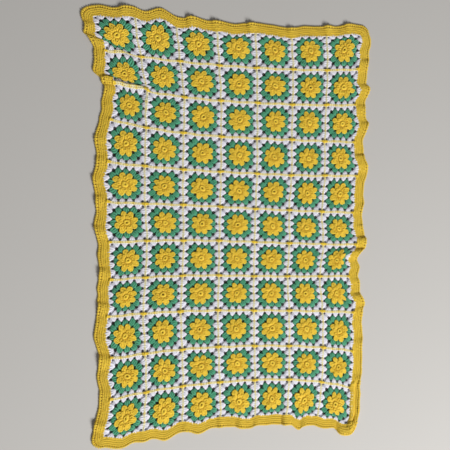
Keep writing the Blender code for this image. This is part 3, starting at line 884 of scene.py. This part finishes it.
def makeTwistGroup():
    group = bpy.data.node_groups.new("yarnTwist", "ShaderNodeTree")
    for name, default in twistSockets.items():
        socket = group.interface.new_socket(name, in_out="INPUT", socket_type="NodeSocketFloat")
        socket.default_value = default
    for name in ("Ridge", "Height", "Patches"):
        group.interface.new_socket(name, in_out="OUTPUT", socket_type="NodeSocketFloat")
    source = group.nodes.new("NodeGroupInput").outputs
    sink = group.nodes.new("NodeGroupOutput").inputs
    place = addNode(group, "ShaderNodeUVMap", uv_map="yarnUv")
    split = addNode(group, "ShaderNodeSeparateXYZ")
    group.links.new(place.outputs[0], split.inputs[0])
    lengths = addMath(group, "DIVIDE", split.outputs[1], source["Twist Length"])
    turns = addMath(group, "ADD", split.outputs[0], lengths)
    phase = addMath(group, "MULTIPLY", addMath(group, "MULTIPLY", turns, source["Plies"]), 2 * math.pi)
    ridge = addMath(group, "MULTIPLY_ADD", addMath(group, "SINE", phase), 0.5, 0.5)
    spot = addNode(group, "ShaderNodeTexCoord")
    fuzz = addNode(group, "ShaderNodeTexNoise", Detail=2.0)
    group.links.new(spot.outputs["Object"], fuzz.inputs["Vector"])
    group.links.new(source["Fuzz Scale"], fuzz.inputs["Scale"])
    patches = addNode(group, "ShaderNodeTexNoise", Scale=twistLook["patchScale"], Detail=2.0)
    group.links.new(spot.outputs["Object"], patches.inputs["Vector"])
    high = addMath(group, "MULTIPLY_ADD", fuzz.outputs[0], twistLook["fuzzHigh"], ridge)
    group.links.new(ridge, sink["Ridge"])
    group.links.new(high, sink["Height"])
    group.links.new(patches.outputs[0], sink["Patches"])
    return group


twistGroup = makeTwistGroup()


def makeYarn(name, light, plyShade, lowShade, settings, stretched=None):
    material = bpy.data.materials.new(name)
    material.use_nodes = True
    tree = material.node_tree
    shader = tree.nodes["Principled BSDF"]
    twist = addNode(tree, "ShaderNodeGroup", node_tree=twistGroup)
    rise = addNode(tree, "ShaderNodeAttribute", attribute_name="rise")
    # painted shade: yarn that lies low, near the web, takes the deep colour
    outOfLowShade = addStep(tree, rise.outputs["Fac"], settings["lowShadeFrom"], settings["lowShadeTo"])
    least = settings["leastLight"]
    # painted shade between the plies: the twist's grooves take the dark colour
    onRidge = addMath(tree, "MULTIPLY_ADD", twist.outputs["Ridge"], 1 - least, least)
    plyShaded = addMix(tree, "MIX", onRidge, plyShade, light)
    if stretched:           # the seam is yellower where no fan presses on it
        stretch = addNode(tree, "ShaderNodeAttribute", attribute_name="stretch")
        plyShaded = addMix(tree, "MIX", stretch.outputs["Fac"], plyShaded, stretched)
    patched = addNode(tree, "ShaderNodeHueSaturation")
    patches = settings["patches"]
    value = addMath(tree, "MULTIPLY_ADD", twist.outputs["Patches"], patches, 1 - patches / 2)
    tree.links.new(value, patched.inputs["Value"])
    tree.links.new(plyShaded, patched.inputs["Color"])
    final = addMix(tree, "MIX", outOfLowShade, lowShade, patched.outputs[0])
    tree.links.new(final, shader.inputs["Base Color"])
    gloss = -settings["ridgeGloss"]
    rough = addMath(tree, "MULTIPLY_ADD", twist.outputs["Ridge"], gloss, settings["rough"])
    tree.links.new(rough, shader.inputs["Roughness"])
    bump = addNode(tree, "ShaderNodeBump", Strength=settings["bump"], Distance=settings["bumpHigh"])
    tree.links.new(twist.outputs["Height"], bump.inputs["Height"])
    tree.links.new(bump.outputs[0], shader.inputs["Normal"])
    shader.inputs["Sheen Weight"].default_value = settings["sheen"]
    shader.inputs["Sheen Roughness"].default_value = settings["sheenRough"]
    shader.inputs["Specular IOR Level"].default_value = settings["specular"]
    return material


yarnLook = {
    "lowShadeFrom": 0.05,       # the height in centimetres where the deep colour, painted shade on low-lying yarn, gives way to the twist's
    "lowShadeTo": 0.34,
    "leastLight": 0.35,     # share of the light colour between the plies, where the dark colour paints shade in the grooves
    "patches": 0.16,
    "bump": 0.6,
    "bumpHigh": 0.0006,
    "rough": 0.92,
    "ridgeGloss": 0.08,
    "sheen": 0.12,
    "sheenRough": 0.6,
    "specular": 0.25,
}
flowerLook = dict(yarnLook, lowShadeFrom=0.2, lowShadeTo=0.72)
borderLook = dict(yarnLook, lowShadeFrom=0.0, lowShadeTo=0.22)
# each yarn's third colour is the painted shade it takes where it lies low
flowerYarn = makeYarn("flowerYarn", colour(255, 222, 74), colour(240, 196, 50),
                      colour(150, 104, 18), flowerLook)
greenYarn = makeYarn("greenYarn", colour(96, 182, 142), colour(62, 148, 112),
                     colour(16, 64, 46), yarnLook)
whiteYarn = makeYarn("whiteYarn", colour(248, 247, 255), colour(228, 226, 240),
                     colour(120, 116, 126), yarnLook)
rowSeam = makeYarn("rowSeam", colour(255, 244, 184), colour(244, 226, 148),
                   colour(206, 180, 96), yarnLook, stretched=colour(252, 224, 104))
columnSeam = makeYarn("columnSeam", colour(255, 248, 200), colour(244, 234, 172),
                      colour(212, 192, 122), yarnLook, stretched=colour(250, 228, 136))
borderYarn = makeYarn("borderYarn", colour(244, 210, 68), colour(232, 192, 52),
                      colour(204, 156, 38), borderLook)
# the web's colours by zone of a square, painted shade of what shows between the stitches, and where
# each zone ends, from the square's middle
backingShades = {
    "flower": colour(150, 104, 22), "flowerReach": 22.5,
    "green": colour(30, 92, 66), "greenReach": 42.0, "greenCorner": 0.62,
    "white": colour(206, 204, 216),
    "seam": colour(196, 176, 100), "seamFrom": 52.2,
    # painted shadow that darkens the web round each gap
    "gapShadow": colour(24, 16, 10), "gapShadowFrom": 5.0, "gapShadowTo": 3.6, "cornerGapShadowLess": 1.6,
    # painted shade on the web along the border's line of small holes
    "border": colour(212, 166, 42), "holeShade": colour(136, 92, 22), "holeShadeReach": 1.6,
    "knitScale": 240.0, "bump": 0.5, "bumpHigh": 0.0008, "rough": 0.95,
}


def makeBackingShade():
    material = bpy.data.materials.new("backingPaintedShade")
    material.use_nodes = True
    tree = material.node_tree
    shader = tree.nodes["Principled BSDF"]
    place = addNode(tree, "ShaderNodeUVMap", uv_map="clothUv")
    split = addNode(tree, "ShaderNodeSeparateXYZ")
    tree.links.new(place.outputs[0], split.inputs[0])
    fromMiddle = []  # millimetres from the square's middle
    for socket in split.outputs[:2]:
        part = addMath(tree, "SUBTRACT", addMath(tree, "FRACT", socket), 0.5)
        fromMiddle.append(addMath(tree, "MULTIPLY", addMath(tree, "ABSOLUTE", part), cloth["square"]))
    larger = addMath(tree, "MAXIMUM", *fromMiddle)
    smaller = addMath(tree, "MINIMUM", *fromMiddle)
    total = addMath(tree, "ADD", larger, smaller)
    squared = [addMath(tree, "POWER", part, 2.0) for part in fromMiddle]
    radius = addMath(tree, "SQRT", addMath(tree, "ADD", *squared))
    inFlower = addMath(tree, "LESS_THAN", radius, backingShades["flowerReach"])
    slanted = addMath(tree, "MULTIPLY", total, backingShades["greenCorner"])
    outward = addMath(tree, "MAXIMUM", larger, slanted)
    inGreen = addMath(tree, "LESS_THAN", outward, backingShades["greenReach"])
    inSeam = addMath(tree, "GREATER_THAN", larger, backingShades["seamFrom"])
    folded = addNode(tree, "ShaderNodeCombineXYZ")
    tree.links.new(larger, folded.inputs[0])
    tree.links.new(smaller, folded.inputs[1])
    nearest = None
    for cellA, cellB, placeA, placeB in web["gaps"]:
        away = addNode(tree, "ShaderNodeVectorMath", operation="DISTANCE")
        tree.links.new(folded.outputs[0], away.inputs[0])
        away.inputs[1].default_value = (max(placeA, placeB), min(placeA, placeB), 0)
        isCorner = (placeA, placeB) == web["slit"][:2]
        less = backingShades["cornerGapShadowLess"] if isCorner else 0.0
        reach = addMath(tree, "ADD", away.outputs["Value"], less)
        nearest = addMath(tree, "MINIMUM", nearest, reach) if nearest else reach
    # painted shadow, darkest nearest a gap
    byGapShadow = addStep(tree, nearest, backingShades["gapShadowFrom"], backingShades["gapShadowTo"])
    past = []  # squares past the panel's edges
    for socket, most in ((split.outputs[0], cloth["columns"]), (split.outputs[1], cloth["rows"])):
        fromCentre = addMath(tree, "ABSOLUTE", addMath(tree, "SUBTRACT", socket, most / 2))
        past.append(addMath(tree, "SUBTRACT", fromCentre, most / 2))
    outside = addMath(tree, "MULTIPLY", addMath(tree, "MAXIMUM", *past), cloth["square"])
    isBorder = addMath(tree, "GREATER_THAN", outside, 0.0)
    # painted shade where the border's last round leaves small holes
    atHoleShade = addMath(tree, "COMPARE", outside, web["holes"], backingShades["holeShadeReach"])
    # painted shade, chosen by zone of the square
    shade = addMix(tree, "MIX", inGreen, backingShades["white"], backingShades["green"])
    for zone, name in ((inFlower, "flower"), (inSeam, "seam"), (byGapShadow, "gapShadow"),
                       (isBorder, "border"), (atHoleShade, "holeShade")):
        shade = addMix(tree, "MIX", zone, shade, backingShades[name])
    tree.links.new(shade, shader.inputs["Base Color"])
    spot = addNode(tree, "ShaderNodeTexCoord")
    knit = addNode(tree, "ShaderNodeTexVoronoi", Scale=backingShades["knitScale"])
    tree.links.new(spot.outputs["Object"], knit.inputs["Vector"])
    bump = addNode(tree, "ShaderNodeBump", Strength=backingShades["bump"],
                   Distance=backingShades["bumpHigh"])
    tree.links.new(knit.outputs["Distance"], bump.inputs["Height"])
    tree.links.new(bump.outputs[0], shader.inputs["Normal"])
    shader.inputs["Roughness"].default_value = backingShades["rough"]
    return material


looks = {
    "yellowFlowers": (flowerYarn, "yellow_yarn"), "greenRounds": (greenYarn, "green_yarn"),
    "whiteRounds": (whiteYarn, "white_yarn"), "rowSeamYarn": (rowSeam, "yellow_yarn"),
    "columnSeamYarn": (columnSeam, "yellow_yarn"), "knotYarn": (flowerYarn, "yellow_yarn"),
    "borderYarn": (borderYarn, "yellow_yarn"),
}
for name, piece in yarnPieces.items():
    material, slot = looks[name.removesuffix("Upper").removesuffix("Lower")]
    piece.data.materials.clear()
    piece.data.materials.append(material)
backing.data.materials.clear()
backing.data.materials.append(makeBackingShade())
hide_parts("squares_panel", "border")
print("yarn dyed")

# floor, light and camera
studio = {"floorSize": 8, "keyPower": 400, "keyPlace": (2.5, -4.0, 3.6), "keySize": 2.4, "sky": 0.15,
          "floorColour": (0.62, 0.6, 0.57, 1), "floorRough": 0.85,
          "tilt": 11, "distance": 1.5, "aim": (-0.0389, -0.0019, 0), "lens": 40}
deselectAll()
bpy.ops.mesh.primitive_plane_add(size=studio["floorSize"], location=(0, 0, 0))
floor = bpy.context.object
floor.name = "paleFloor"
floorLook = bpy.data.materials.new("paleFloor")
floorLook.use_nodes = True
floorShader = floorLook.node_tree.nodes["Principled BSDF"]
floorShader.inputs["Base Color"].default_value = studio["floorColour"]
floorShader.inputs["Roughness"].default_value = studio["floorRough"]
floor.data.materials.append(floorLook)

key = bpy.data.objects.new("softKey", bpy.data.lights.new("softKey", "AREA"))
key.data.energy, key.data.size = studio["keyPower"], studio["keySize"]
key.location = studio["keyPlace"]
key.rotation_euler = (-Vector(studio["keyPlace"])).to_track_quat("-Z", "Y").to_euler()
bpy.context.scene.collection.objects.link(key)
world = bpy.data.worlds.new("studioSky")
world.use_nodes = True
world.node_tree.nodes["Background"].inputs[0].default_value = (1, 1, 1, 1)
world.node_tree.nodes["Background"].inputs[1].default_value = studio["sky"]
bpy.context.scene.world = world

tilt = math.radians(studio["tilt"])
ahead = Vector((math.sin(tilt), 0, -math.cos(tilt)))
right = Vector((math.cos(tilt), 0, math.sin(tilt)))
camera = bpy.data.objects.new("photoCamera", bpy.data.cameras.new("photoCamera"))
camera.data.lens = studio["lens"]
camera.matrix_world = (Matrix.Translation(Vector(studio["aim"]) - ahead * studio["distance"])
                       @ Matrix((right, Vector((0, 1, 0)), -ahead)).transposed().to_4x4())
bpy.context.scene.collection.objects.link(camera)
bpy.context.scene.camera = camera
bpy.context.scene.view_settings.view_transform = "Standard"

triangles = {}
for piece in [backing, *yarnPieces.values()]:
    piece.data.calc_loop_triangles()
    triangles[piece.name] = len(piece.data.loop_triangles)
print("triangles", triangles, sum(triangles.values()))
